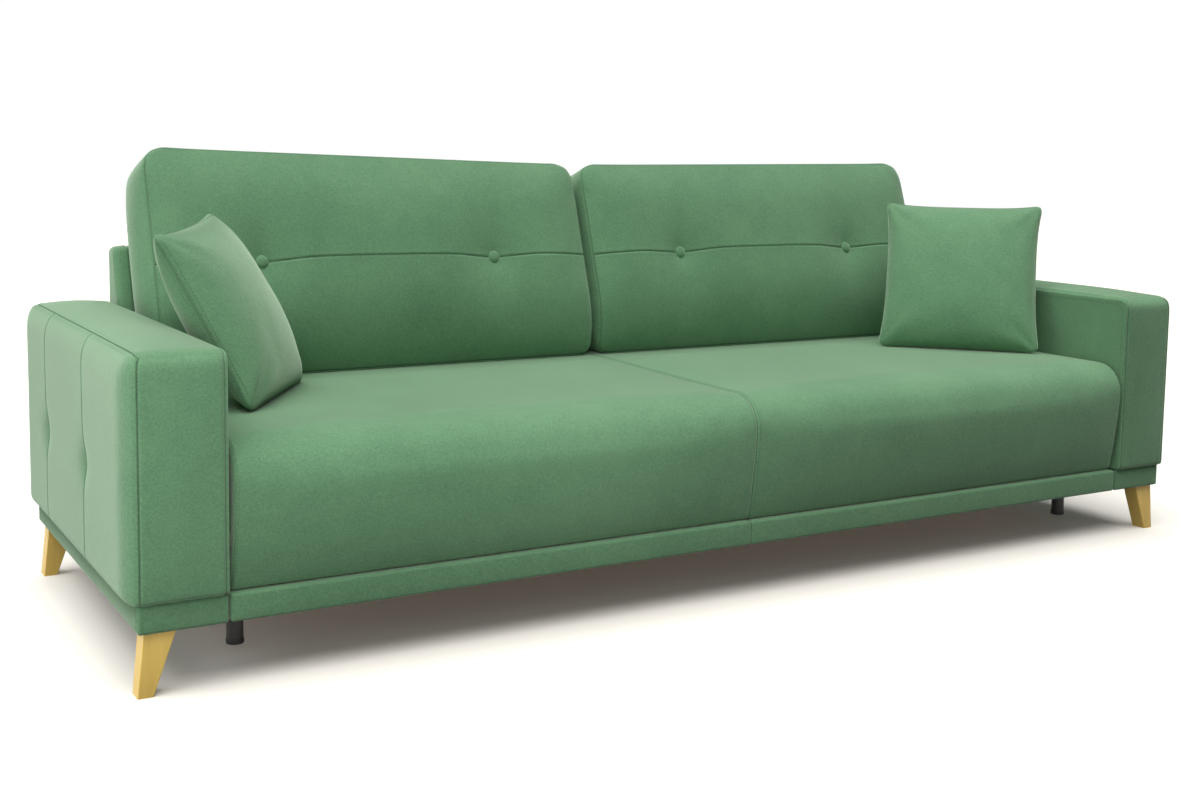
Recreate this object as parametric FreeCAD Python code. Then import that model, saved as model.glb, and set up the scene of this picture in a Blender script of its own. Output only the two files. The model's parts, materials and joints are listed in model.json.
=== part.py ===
"""Three-seat sofa bed with splayed wooden legs, in millimetres.

X runs along the sofa, -Y is the front, +Z is up, and the floor is Z = 0.
The seat steps forward on two pairs of equal links, the backrest lies down into the
space that it leaves, and the two back cushions lie down on the backrest.
"""
import FreeCAD, Part
import os
from math import acos, cos, degrees, hypot, pi, radians, sin, tan
from FreeCAD import Vector

# ---- overall sizes -------------------------------------------------------------
overall_width = 2500.0
overall_depth = 926.0
leg_height = 110.0

# ---- arms ----------------------------------------------------------------------
arm_width = 161.0
arm_depth = 882.0
arm_height = 417.0
arm_setback = 8.0
arm_corner_radius = 20.0
arm_padding = 18.0
arm_inner_padding = 10.0
arm_top_padding = 25.0
arm_board = 4.0
arm_rail = 28.0
plinth_height = 50.0
plinth_inset = 9.0
plinth_wall = 18.0
leg_block_length = 80.0

# ---- wooden legs ---------------------------------------------------------------
leg_top_width = 55.0
leg_top_thickness = 40.0
leg_foot_width = 27.0
leg_foot_thickness = 36.0
leg_foot_inset = 9.0
leg_splay = 11.0
leg_setback = 19.0
leg_edge_radius = 2.0
leg_bolt_radius = 4.0
leg_bolt_depth = 45.0
leg_bolt_into_block = 35.0

# ---- base between the arms -------------------------------------------------------
base_lift = 5.0
side_rail_thickness = 22.0
side_rail_height = 40.0
side_rail_setback = 173.0
front_rail_depth = 20.0
front_rail_height = 30.0
front_rail_setback = 5.0
box_panel_thickness = 6.0
rear_wall_thickness = 16.0
rear_wall_height = 155.0
rear_wall_side_gap = 9.0
rear_wall_edge_radius = 4.0
base_bolt_radius = 4.0
base_bolt_head_radius = 7.0
base_bolt_head = 4.0
base_bolt_depth = 14.0
base_bolt_from_rear = (363.0, 203.0, 63.0)

# ---- stepping mechanism ----------------------------------------------------------
link_length = 250.0
link_rest_lean = 48.5
link_thickness = 5.0
link_eye_radius = 13.0
link_spacing = 220.0
link_side_gap = 1.0
pivot_radius = 5.0
pivot_collar_radius = 8.0
running_clearance = 0.06
loose_clearance = 0.4
base_plate_thickness = 4.0
base_plate_margin = 20.0
base_plate_height = 34.0
seat_plate_thickness = 4.0
seat_plate_margin = 24.0
seat_plate_height = 40.0
seat_plate_drop = 2.0
front_pivot_setback = 249.0
seat_pivot_below_deck = 17.0

# ---- seat ------------------------------------------------------------------------
seat_height = 423.0
seat_side_gap = 3.5
seat_foam_thickness = 105.0
seat_frame_height = 60.0
seat_frame_member = 30.0
seat_front_radius = 72.0
seat_hem_radius = 26.0
seat_edge_lift = 0.5
front_board_thickness = 20.0
front_board_setback = 63.0
front_board_lift = 2.0
seat_plinth_thickness = 26.0
seat_frame_from_rear = 213.0
cross_member_count = 2
springs_per_bay = 4
spring_wire = 3.8
spring_loop_count = 14
spring_straight = 14.0
spring_below_deck = 8.0
support_leg_radius = 15.0
support_leg_inset = 49.0
support_leg_setback = 149.0
support_leg_hover = 30.0
support_flange = 50.0
support_flange_thickness = 3.0
support_cap_height = 8.0
support_cap_lip = 1.0

# ---- backrest ---------------------------------------------------------------------
back_lean = 19.0
backrest_top = 692.0
backrest_bottom = 184.0
backrest_side_gap = 9.0
backrest_padding = 15.0
backrest_rear_hem = 300.0
backrest_toe_depth = 163.0
backrest_top_thickness = 54.0
backrest_edge_radius = 16.0
backrest_rib_thickness = 20.0
backrest_rib_count = 4
backrest_rail = 24.0
strap_width = 60.0
strap_thickness = 1.5
strap_count = 9
seat_to_backrest_gap = 3.0
open_level_gap = 1.0
bracket_thickness = 4.0
bracket_boss_radius = 18.0
bracket_pin_radius = 6.0
bracket_pin_head_radius = 10.0
bracket_pin_head = 2.5
bracket_flange_radius = 15.0
bracket_side_gap = 0.7
bracket_below_arm = 15.0
bracket_height = 92.0
bracket_margin = 12.0

# ---- loose cushions ---------------------------------------------------------------
cushion_outer_gap = 49.0
cushion_thickness = 165.0
cushion_top = 893.0
cushion_middle_gap = 16.0
cushion_edge_radius = 30.0
cushion_seat_gap = 0.4
cushion_back_gap = 1.0
button_radius = 13.0
button_thickness = 7.0
button_crown_radius = 8.0
button_offset = 265.0
button_height_along = 255.0
scatter_thickness = 140.0
scatter_edge_thickness = 24.0
scatter_face_share = 0.5
left_scatter = {"side": -1, "size": 375.0, "from_side": 267.0, "from_rear": 700.0, "yaw": 56.4, "lean": 29.0}
right_scatter = {"side": 1, "size": 390.0, "from_side": 528.0, "from_rear": 455.0, "yaw": -44.9, "lean": 24.9}

# ---- derived planes and lines -------------------------------------------------------
outer_x = overall_width / 2
inner_x = outer_x - arm_width
seat_front = -overall_depth / 2
rear_y = overall_depth / 2
arm_front = seat_front + arm_setback
arm_rear = arm_front + arm_depth
arm_bottom = leg_height + plinth_height
arm_top = arm_bottom + arm_height
base_bottom = leg_height + base_lift
deck_z = seat_height - seat_foam_thickness
seat_frame_bottom = deck_z - seat_frame_height
seat_half_width = inner_x - seat_side_gap
rear_wall_half_width = inner_x - rear_wall_side_gap
support_leg_x = inner_x - support_leg_inset
cushion_width = inner_x - cushion_middle_gap / 2 - cushion_outer_gap
bracket_high = arm_top - bracket_below_arm
bracket_low = bracket_high - bracket_height
rail_inner_x = inner_x - side_rail_thickness
base_plate_x = rail_inner_x - base_plate_thickness
link_x = base_plate_x - link_side_gap - link_thickness
seat_plate_x = link_x - link_side_gap - seat_plate_thickness
rear_wall_front = rear_y - rear_wall_thickness
backrest_half_width = inner_x - backrest_side_gap
front_board_back = seat_front + front_board_setback
front_board_front = front_board_back - front_board_thickness
seat_frame_rear = rear_y - seat_frame_from_rear
support_leg_y = seat_front + support_leg_setback
side_rail_front = seat_front + side_rail_setback
front_pivot_y = seat_front + front_pivot_setback
base_bolt_places = tuple(rear_y - distance for distance in base_bolt_from_rear)
backrest_toe_y = rear_y - backrest_toe_depth
plinth_front = arm_front + plinth_inset
lean = radians(back_lean)

seat_pivot_z = deck_z - seat_pivot_below_deck
base_pivot_z = seat_pivot_z - link_length * cos(radians(link_rest_lean))
link_reach = link_length * sin(radians(link_rest_lean))
open_lean = acos(cos(radians(link_rest_lean)) - support_leg_hover / link_length)
step_travel = link_length * (sin(radians(link_rest_lean)) + sin(open_lean))

backrest_top_front = rear_y - backrest_top_thickness


def backrest_front(z):
    """Y of the backrest's leaning front face at height z."""
    return backrest_top_front - (backrest_top - z) * tan(lean)


cushion_base_z = seat_height + cushion_seat_gap
cushion_hinge_y = backrest_front(cushion_base_z) - cushion_back_gap


def backrest_pivot():
    """Pivot about which the backrest turns so that its front face ends level with the seat."""
    turn = pi / 2 - lean
    c, s = cos(turn), sin(turn)
    face_length = (backrest_top - backrest_bottom) / cos(lean)
    seat_rear_open = backrest_front(seat_height) - seat_to_backrest_gap - step_travel
    end_y = seat_rear_open + seat_to_backrest_gap + face_length
    end_z = cushion_base_z - support_leg_hover - open_level_gap
    ry = end_y - (c * backrest_top_front + s * backrest_top)
    rz = end_z - (c * backrest_top - s * backrest_top_front)
    det = 2 * (1 - c)
    return ((1 - c) * ry + s * rz) / det, ((1 - c) * rz - s * ry) / det


pivot_y, pivot_z = backrest_pivot()


# ---- shape helpers -----------------------------------------------------------------
def block(x0, x1, y0, y1, z0, z1):
    return Part.makeBox(x1 - x0, y1 - y0, z1 - z0, Vector(x0, y0, z0))


def prism(points, x0, x1):
    """Solid of a side profile, (y, z) points, from x0 to x1."""
    loop = [Vector(x0, y, z) for y, z in points]
    return Part.Face(Part.makePolygon(loop + loop[:1])).extrude(Vector(x1 - x0, 0, 0))


def rod_x(radius, x0, x1, y, z):
    return Part.makeCylinder(radius, x1 - x0, Vector(x0, y, z), Vector(1, 0, 0))


def mirrored(shape):
    """The same piece on the other side of the sofa."""
    return shape.mirror(Vector(0, 0, 0), Vector(1, 0, 0))


def both_sides(shape):
    return Part.makeCompound([mirrored(shape), shape])


def rounded(shape, radius, pick):
    return shape.makeFillet(radius, [e for e in shape.Edges if pick(e)])


def middle(edge):
    return edge.valueAt((edge.FirstParameter + edge.LastParameter) / 2)


def save(node, shape):
    shape.exportStep("parts/%s.step" % node)


def save_pair(name, right_shape):
    """Writes the left and right copies of a piece as two nodes."""
    save("left_" + name, mirrored(right_shape))
    save("right_" + name, right_shape)


# ---- arms and plinths ---------------------------------------------------------------
def arm_hollow():
    """Space inside an arm's padding for its boards and frame, as box limits."""
    return (inner_x + arm_inner_padding, outer_x - arm_padding,
            arm_front + arm_padding, arm_rear - arm_padding, arm_bottom, arm_top - arm_top_padding)


def arm_upholstery():
    body = block(inner_x, outer_x, arm_front, arm_rear, arm_bottom, arm_top)
    body = rounded(body, arm_corner_radius, lambda e: middle(e).z > arm_bottom + 1)
    return body.cut(block(*arm_hollow()))


def arm_panels():
    x0, x1, y0, y1, z0, z1 = arm_hollow()
    return Part.makeCompound([block(x0, x0 + arm_board, y0, y1, z0, z1),
                              block(x1 - arm_board, x1, y0, y1, z0, z1)])


def arm_frame():
    x0, x1, y0, y1, z0, z1 = arm_hollow()
    x0, x1 = x0 + arm_board, x1 - arm_board
    window = block(x0, x1, y0 + arm_rail, y1 - arm_rail, z0 + arm_rail, z1 - arm_rail)
    return block(x0, x1, y0, y1, z0, z1).cut(window)


def plinth_limits():
    return inner_x, outer_x - plinth_inset, plinth_front, arm_rear - plinth_inset


def arm_plinth():
    """Four covered boards butted into a frame: long inner and outer, short front and rear."""
    x0, x1, y0, y1 = plinth_limits()
    wall, low, high = plinth_wall, leg_height, arm_bottom
    inner = block(x0, x0 + wall, y0, y1, low, high)
    for y in base_bolt_places:
        inner = inner.cut(rod_x(base_bolt_radius + running_clearance, x0, x0 + base_bolt_depth + 1,
                                y, base_bottom + side_rail_height / 2))
    return Part.makeCompound([inner, block(x1 - wall, x1, y0, y1, low, high),
                              block(x0 + wall, x1 - wall, y0, y0 + wall, low, high),
                              block(x0 + wall, x1 - wall, y1 - wall, y1, low, high)])


def leg_ends():
    """Each end of an arm: its sign along Y and the Y of its outer face."""
    return ((-1, arm_front), (1, arm_rear))


def leg_bolt_place(sign, face):
    x = outer_x - leg_foot_inset - leg_splay - leg_top_width / 2
    return x, face - sign * (leg_setback + leg_top_thickness / 2)


def leg_blocks():
    x0, x1, y0, y1 = plinth_limits()
    solids = []
    for sign, face in leg_ends():
        wall = y0 + plinth_wall if sign < 0 else y1 - plinth_wall
        near, far = sorted((wall, wall - sign * leg_block_length))
        piece = block(x0 + plinth_wall, x1 - plinth_wall, near, far, leg_height, arm_bottom)
        x, y = leg_bolt_place(sign, face)
        piece = piece.cut(Part.makeCylinder(leg_bolt_radius + running_clearance,
                                            leg_bolt_into_block + 1, Vector(x, y, leg_height)))
        solids.append(piece)
    return Part.makeCompound(solids)


def leg(sign, face):
    """A splayed leg: wide at the plinth, narrow at the floor, its foot set outward."""
    foot_out = outer_x - leg_foot_inset
    top_out = foot_out - leg_splay
    near = face - sign * leg_setback

    def loop(x_out, width, thickness, z):
        far = near - sign * thickness
        corners = [(x_out, near), (x_out - width, near), (x_out - width, far), (x_out, far)]
        points = [Vector(x, y, z) for x, y in corners]
        return Part.makePolygon(points + points[:1])

    body = Part.makeLoft([loop(foot_out, leg_foot_width, leg_foot_thickness, 0),
                          loop(top_out, leg_top_width, leg_top_thickness, leg_height)], True, True)
    body = rounded(body, leg_edge_radius, lambda e: 1 < middle(e).z < leg_height - 1)
    x, y = leg_bolt_place(sign, face)
    hole = Part.makeCylinder(leg_bolt_radius + running_clearance, leg_bolt_depth + 1,
                             Vector(x, y, leg_height - leg_bolt_depth - 1))
    return body.cut(hole)


def leg_bolt(sign, face):
    x, y = leg_bolt_place(sign, face)
    return Part.makeCylinder(leg_bolt_radius, leg_bolt_depth + leg_bolt_into_block,
                             Vector(x, y, leg_height - leg_bolt_depth))


# ---- base between the arms ------------------------------------------------------------
def side_rail():
    rail = block(rail_inner_x, inner_x, side_rail_front, rear_wall_front,
                 base_bottom, base_bottom + side_rail_height)
    for y in base_bolt_places:
        rail = rail.cut(rod_x(base_bolt_radius + running_clearance, rail_inner_x, inner_x,
                              y, base_bottom + side_rail_height / 2))
    return rail


def front_rail():
    y0 = side_rail_front + front_rail_setback
    return block(-rail_inner_x, rail_inner_x, y0, y0 + front_rail_depth,
                 base_bottom, base_bottom + front_rail_height)


def box_panel():
    y0 = side_rail_front + front_rail_setback + front_rail_depth
    return block(-rail_inner_x, rail_inner_x, y0, rear_wall_front,
                 base_bottom, base_bottom + box_panel_thickness)


def rear_wall():
    wall = block(-rear_wall_half_width, rear_wall_half_width, rear_wall_front, rear_y,
                 base_bottom, base_bottom + rear_wall_height)
    return rounded(wall, rear_wall_edge_radius, lambda e: middle(e).y > rear_y - 1)


def base_bolts():
    solids = []
    for y in base_bolt_places:
        z = base_bottom + side_rail_height / 2
        shank = rod_x(base_bolt_radius, rail_inner_x, inner_x + base_bolt_depth, y, z)
        head = rod_x(base_bolt_head_radius, rail_inner_x - base_bolt_head, rail_inner_x, y, z)
        solids.append(shank.fuse(head))
    return Part.makeCompound(solids)


def base_pivots():
    return (front_pivot_y, front_pivot_y + link_spacing)


def seat_pivots():
    return tuple(y + link_reach for y in base_pivots())


def base_plate():
    """Steel plate on the side rail, with the two lower link pivots."""
    front, rear = base_pivots()
    low = base_bottom + box_panel_thickness
    plate = block(base_plate_x, rail_inner_x, front - base_plate_margin, rear + base_plate_margin,
                  low, low + base_plate_height)
    for y in base_pivots():
        plate = plate.fuse(rod_x(pivot_radius, link_x - link_side_gap / 2, base_plate_x, y, base_pivot_z))
        plate = plate.fuse(rod_x(pivot_collar_radius, base_plate_x - link_side_gap / 2,
                                 base_plate_x, y, base_pivot_z))
    return plate


# ---- links ------------------------------------------------------------------------------
def link(base_y, seat_bore):
    """A flat steel link with an eye at each end, leaning back at rest."""
    top_y = base_y + link_reach
    bar = rod_x(link_eye_radius, link_x, link_x + link_thickness, base_y, base_pivot_z)
    bar = bar.fuse(rod_x(link_eye_radius, link_x, link_x + link_thickness, top_y, seat_pivot_z))
    across = Vector(0, cos(radians(link_rest_lean)), -sin(radians(link_rest_lean))) * link_eye_radius
    low, high = Vector(0, base_y, base_pivot_z), Vector(0, top_y, seat_pivot_z)
    sides = [low - across, high - across, high + across, low + across]
    bar = bar.fuse(prism([(p.y, p.z) for p in sides], link_x, link_x + link_thickness))
    bar = bar.cut(rod_x(pivot_radius + running_clearance, link_x, link_x + link_thickness,
                        base_y, base_pivot_z))
    bar = bar.cut(rod_x(seat_bore, link_x, link_x + link_thickness, top_y, seat_pivot_z))
    return bar.removeSplitter()


# ---- seat -------------------------------------------------------------------------------
def seat_bays():
    """X limits of the openings between the seat frame's short members."""
    bay = (2 * seat_plate_x - (cross_member_count + 2) * seat_frame_member) / (cross_member_count + 1)
    starts = [-seat_plate_x + seat_frame_member + i * (bay + seat_frame_member)
              for i in range(cross_member_count + 1)]
    return [(x0, x0 + bay) for x0 in starts]


def seat_frame():
    """Timber frame: a long front and rear member with short members butted between them."""
    side, member = seat_plate_x, seat_frame_member
    front, rear = front_board_back, seat_frame_rear
    solids = [block(-side, side, front, front + member, seat_frame_bottom, deck_z),
              block(-side, side, rear - member, rear, seat_frame_bottom, deck_z)]
    for x in [-side] + [x1 for _, x1 in seat_bays()]:
        solids.append(block(x, x + member, front + member, rear - member, seat_frame_bottom, deck_z))
    return Part.makeCompound(solids)


def spring(x, y0, y1, z):
    """A zigzag seat spring made of one straight run and one loop for each half wave."""
    r, half = spring_wire / 2, spring_straight / 2
    pitch = (y1 - y0) / spring_loop_count
    pieces = []
    for i in range(spring_loop_count):
        side = 1 if i % 2 else -1
        y = y0 + (i + 0.5) * pitch
        near, far = sorted((x + side * half, x + side * (half + pitch)))
        ring = Part.makeTorus(pitch / 2, r, Vector(x + side * half, y, z))
        pieces.append(ring.common(block(near, far, y - pitch, y + pitch, z - 2 * r, z + 2 * r)))
        pieces.append(rod_x(r, x - half, x + half, y + pitch / 2, z))
    pieces.append(rod_x(r, x - half, x + half, y0, z))
    return pieces[0].fuse(pieces[1:]).removeSplitter()


def seat_springs():
    y0 = front_board_back + seat_frame_member + spring_wire / 2
    y1 = seat_frame_rear - seat_frame_member - spring_wire / 2
    first = spring(0, y0, y1, deck_z - spring_below_deck)
    copies = []
    for x0, x1 in seat_bays():
        for j in range(springs_per_bay):
            copy = first.copy()
            copy.translate(Vector(x0 + (j + 0.5) * (x1 - x0) / springs_per_bay, 0, 0))
            copies.append(copy)
    return Part.makeCompound(copies)


def seat_front_board():
    return block(-seat_plate_x, seat_plate_x, front_board_front, front_board_back,
                 leg_height + front_board_lift, deck_z)


def seat_plinth():
    return block(-seat_half_width, seat_half_width, front_board_front - seat_plinth_thickness,
                 front_board_front, leg_height, arm_bottom)


def seat_cushion():
    """Foam and cover: a flat top that rolls over the front and down to the plinth."""
    front, low = seat_front, arm_bottom + seat_edge_lift
    rear_low = backrest_front(deck_z) - seat_to_backrest_gap
    rear_high = backrest_front(seat_height) - seat_to_backrest_gap
    body = prism([(front, low), (front_board_front, low), (front_board_front, deck_z),
                  (rear_low, deck_z), (rear_high, seat_height), (front, seat_height)],
                 -seat_half_width, seat_half_width)
    body = rounded(body, seat_front_radius,
                   lambda e: middle(e).y < front + 1 and middle(e).z > seat_height - 1)
    return rounded(body, seat_hem_radius,
                   lambda e: middle(e).y < front + 1 and middle(e).z < low + 1)


def seat_plate():
    """Steel plate on the seat frame's side, with the two upper link pivots."""
    front, rear = seat_pivots()
    plate = block(seat_plate_x, seat_plate_x + seat_plate_thickness, front - seat_plate_margin,
                  rear + seat_plate_margin, deck_z - seat_plate_drop - seat_plate_height,
                  deck_z - seat_plate_drop)
    for y in seat_pivots():
        plate = plate.fuse(rod_x(pivot_radius, seat_plate_x + seat_plate_thickness,
                                 link_x + link_thickness + link_side_gap / 2, y, seat_pivot_z))
        plate = plate.fuse(rod_x(pivot_collar_radius, seat_plate_x + seat_plate_thickness,
                                 link_x - link_side_gap / 2, y, seat_pivot_z))
    return plate


def support_leg():
    half = support_flange / 2
    top = seat_frame_bottom
    flange = block(support_leg_x - half, support_leg_x + half, support_leg_y - half, support_leg_y + half,
                   top - support_flange_thickness, top)
    low = support_leg_hover + support_cap_height
    tube = Part.makeCylinder(support_leg_radius, top - support_flange_thickness - low,
                             Vector(support_leg_x, support_leg_y, low))
    return flange.fuse(tube)


def support_leg_cap():
    return Part.makeCylinder(support_leg_radius + support_cap_lip, support_cap_height,
                             Vector(support_leg_x, support_leg_y, support_leg_hover))


# ---- backrest -----------------------------------------------------------------------------
def backrest_profile(inset):
    """Wedge outline of the backrest, (y, z) points, moved inward by inset."""
    slope = inset / cos(lean)
    top, rear = backrest_top - inset, rear_y - inset
    low = backrest_bottom + inset
    run = (rear_y - backrest_toe_y, backrest_rear_hem - backrest_bottom)
    shift = inset * hypot(*run) / run[1]

    def cut_y(z):
        return backrest_toe_y + (z - backrest_bottom) * run[0] / run[1] - shift

    cut_z = backrest_bottom + (rear - backrest_toe_y + shift) * run[1] / run[0]
    return [(backrest_front(low) + slope, low), (backrest_front(top) + slope, top),
            (rear, top), (rear, cut_z), (cut_y(low), low)]


def backrest_upholstery():
    half = backrest_half_width
    body = prism(backrest_profile(0), -half, half)
    body = rounded(body, backrest_edge_radius, lambda e: middle(e).z > backrest_top - 1)
    return body.cut(prism(backrest_profile(backrest_padding), -half + backrest_padding,
                          half - backrest_padding))


def backrest_frame():
    """Ribs across the thickness, joined by a rail at the top and one at the foot."""
    inset = backrest_padding + strap_thickness
    outline = backrest_profile(inset)
    half = backrest_half_width - backrest_padding
    frame = None
    for i in range(backrest_rib_count):
        x = -half + i * (2 * half - backrest_rib_thickness) / (backrest_rib_count - 1)
        rib = prism(outline, x, x + backrest_rib_thickness)
        frame = rib if frame is None else frame.fuse(rib)
    whole = prism(outline, -half, half)
    top, low = outline[1][1], outline[0][1]
    for z0 in (top - backrest_rail, low):
        frame = frame.fuse(whole.common(block(-half, half, 0, rear_y, z0, z0 + backrest_rail)))
    return frame.removeSplitter()


def backrest_straps():
    """Elastic straps up the front of the frame, under the padding."""
    skin = backrest_profile(backrest_padding)
    under = backrest_profile(backrest_padding + strap_thickness)
    side = [skin[0], skin[1], (under[1][0], under[1][1]), (under[0][0], under[0][1])]
    half = backrest_half_width - backrest_padding - backrest_rib_thickness
    pitch = 2 * half / strap_count
    return Part.makeCompound([prism(side, -half + (i + 0.5) * pitch - strap_width / 2,
                                    -half + (i + 0.5) * pitch + strap_width / 2)
                              for i in range(strap_count)])


def backrest_bracket():
    """Steel arm from the backrest's side forward to its pivot pin."""
    x0, x1 = backrest_half_width, backrest_half_width + bracket_thickness
    low_y, high_y = (backrest_front(z) + bracket_margin for z in (bracket_low, bracket_high))
    rear = rear_y - bracket_margin - bracket_thickness
    outline = [(pivot_y, pivot_z - bracket_boss_radius), (low_y, bracket_low), (rear, bracket_low),
               (rear, bracket_high), (high_y, bracket_high), (pivot_y, pivot_z + bracket_boss_radius)]
    plate = prism(outline, x0, x1).fuse(rod_x(bracket_boss_radius, x0, x1, pivot_y, pivot_z))
    return plate.cut(rod_x(bracket_pin_radius + running_clearance, x0, x1, pivot_y, pivot_z))


def backrest_pin():
    x0, x1 = backrest_half_width, backrest_half_width + bracket_thickness
    pin = rod_x(bracket_pin_radius, x0 - bracket_side_gap, inner_x, pivot_y, pivot_z)
    head = rod_x(bracket_pin_head_radius, x0 - bracket_side_gap - bracket_pin_head,
                 x0 - bracket_side_gap, pivot_y, pivot_z)
    flange = rod_x(bracket_flange_radius, x1 + bracket_side_gap, inner_x, pivot_y, pivot_z)
    return pin.fuse([head, flange])


# ---- loose cushions --------------------------------------------------------------------------
def back_cushion():
    """Leaning boxed cushion of the right-hand side, its foot cut level on the seat."""
    up = (sin(lean), cos(lean))
    fore = (-cos(lean), sin(lean))
    rear_foot = (cushion_hinge_y, cushion_base_z)
    front_foot_y = cushion_hinge_y - cushion_thickness / cos(lean)
    rise = (cushion_top - cushion_base_z) / up[1]
    front_top = (front_foot_y + rise * up[0], cushion_top)
    rear_top = (front_top[0] - fore[0] * cushion_thickness, front_top[1] - fore[1] * cushion_thickness)
    x0 = cushion_middle_gap / 2
    body = prism([(front_foot_y, cushion_base_z), rear_foot, rear_top, front_top], x0, x0 + cushion_width)
    return rounded(body, cushion_edge_radius, lambda e: middle(e).z > cushion_base_z + 1)


def cushion_buttons():
    """The two covered buttons on the right-hand cushion's front face."""
    face_y = cushion_hinge_y - cushion_thickness / cos(lean)
    axis = Vector(0, -cos(lean), sin(lean))
    seat_point = Vector(0, face_y, cushion_base_z) + Vector(0, sin(lean), cos(lean)) * button_height_along
    centre_x = cushion_middle_gap / 2 + cushion_width / 2
    solids = []
    for side in (-1, 1):
        base = seat_point + Vector(centre_x + side * button_offset, 0, 0)
        solids.append(Part.makeCone(button_radius, button_crown_radius, button_thickness, base, axis))
    return Part.makeCompound(solids)


def scatter_cushion(place):
    """Pillow: a thin square edge that swells to a smaller flat face on each side."""
    size = place["size"]
    inner = size * scatter_face_share
    margin = (size - inner) / 2

    def loop(offset, width, depth):
        corners = [(offset, offset), (offset + width, offset),
                   (offset + width, offset + width), (offset, offset + width)]
        points = [Vector(a, depth, b) for a, b in corners]
        return Part.makePolygon(points + points[:1])

    half, edge = scatter_thickness / 2, scatter_edge_thickness / 2
    loops = [loop(margin, inner, -half), loop(0, size, -edge),
             loop(0, size, edge), loop(margin, inner, half)]
    body = Part.makeLoft(loops, True, True)
    body.rotate(Vector(0, 0, 0), Vector(1, 0, 0), -place["lean"])
    body.rotate(Vector(0, 0, 0), Vector(0, 0, 1), place["yaw"])
    x, y = place["side"] * (outer_x - place["from_side"]), rear_y - place["from_rear"]
    body.translate(Vector(x, y, 0))
    body.translate(Vector(0, 0, seat_height + cushion_seat_gap - body.BoundBox.ZMin))
    return body


def show_joints():
    """Prints where each joint's axis lies, as (y, z), and how far the seat steps."""
    lower, upper = base_pivots(), seat_pivots()
    print("link pivots on the base", [(y, base_pivot_z) for y in lower])
    print("link pivots on the seat", [(y, seat_pivot_z) for y in upper])
    print("link swing, degrees", link_rest_lean + degrees(open_lean), "seat travel", step_travel)
    print("backrest pivot", (pivot_y, pivot_z), "cushion hinge", (cushion_hinge_y, cushion_base_z))


def build():
    os.makedirs("parts", exist_ok=True)
    save_pair("arm_upholstery", arm_upholstery())
    save_pair("arm_frame", arm_frame())
    save_pair("arm_panels", arm_panels())
    save_pair("arm_plinth", arm_plinth())
    save_pair("leg_blocks", leg_blocks())
    for name, (sign, face) in zip(("front", "rear"), leg_ends()):
        save(name + "_left_leg", mirrored(leg(sign, face)))
        save(name + "_right_leg", leg(sign, face))
    save("leg_bolts", both_sides(Part.makeCompound([leg_bolt(*end) for end in leg_ends()])))
    save_pair("side_rail", side_rail())
    save("base_front_rail", front_rail())
    save("box_panel", box_panel())
    save("rear_wall", rear_wall())
    save("base_bolts", both_sides(base_bolts()))
    save_pair("base_plate", base_plate())
    front, rear = base_pivots()
    save_pair("front_link", link(front, pivot_radius + running_clearance))
    save_pair("rear_link", link(rear, pivot_radius + loose_clearance))
    save("seat_frame", seat_frame())
    save("seat_springs", seat_springs())
    save("seat_front_board", seat_front_board())
    save("seat_plinth", seat_plinth())
    save("seat_cushion", seat_cushion())
    save_pair("seat_plate", seat_plate())
    save_pair("support_leg", support_leg())
    save("support_leg_caps", both_sides(support_leg_cap()))
    save("backrest_upholstery", backrest_upholstery())
    save("backrest_frame", backrest_frame())
    save("backrest_straps", backrest_straps())
    save_pair("backrest_bracket", backrest_bracket())
    save_pair("backrest_pin", backrest_pin())
    save_pair("back_cushion", back_cushion())
    save_pair("cushion_buttons", cushion_buttons())
    save("left_scatter_cushion", scatter_cushion(left_scatter))
    save("right_scatter_cushion", scatter_cushion(right_scatter))
    show_joints()


build()
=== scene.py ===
import json
import math
import bmesh
import bpy
import numpy as np
from mathutils import Matrix, Vector
from mathutils.bvhtree import BVHTree


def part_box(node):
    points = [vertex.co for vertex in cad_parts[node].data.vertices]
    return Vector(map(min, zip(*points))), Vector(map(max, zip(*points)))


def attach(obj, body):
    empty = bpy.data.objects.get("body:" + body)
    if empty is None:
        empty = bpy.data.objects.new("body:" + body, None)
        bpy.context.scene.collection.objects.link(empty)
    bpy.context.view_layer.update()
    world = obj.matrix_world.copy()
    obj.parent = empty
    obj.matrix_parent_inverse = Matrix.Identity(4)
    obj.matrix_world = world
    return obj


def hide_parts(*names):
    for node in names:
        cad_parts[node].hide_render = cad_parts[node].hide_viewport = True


# A three-seat sofa bed: sage velour over foam, pale wooden legs, a black steel mechanism.
# Metres, +X along the sofa, -Y to the front, +Z up.
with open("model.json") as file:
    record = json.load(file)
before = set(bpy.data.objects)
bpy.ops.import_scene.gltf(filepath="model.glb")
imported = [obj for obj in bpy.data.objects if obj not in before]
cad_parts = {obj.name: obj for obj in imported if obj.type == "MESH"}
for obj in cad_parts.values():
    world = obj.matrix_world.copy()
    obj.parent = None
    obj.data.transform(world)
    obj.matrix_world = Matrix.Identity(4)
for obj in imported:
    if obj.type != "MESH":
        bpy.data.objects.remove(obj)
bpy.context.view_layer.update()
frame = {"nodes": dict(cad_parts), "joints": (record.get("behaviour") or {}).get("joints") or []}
nodes = frame["nodes"]

# ---- Studio ----------------------------------------------------------------------------
# A pale floor in a white surround. One large soft light overhead, soft boxes at the left, the
# front left and the rear, and one on the floor in front that shines up. The camera stands at
# the front left.
bpy.context.scene.view_settings.view_transform = "Standard"

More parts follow.
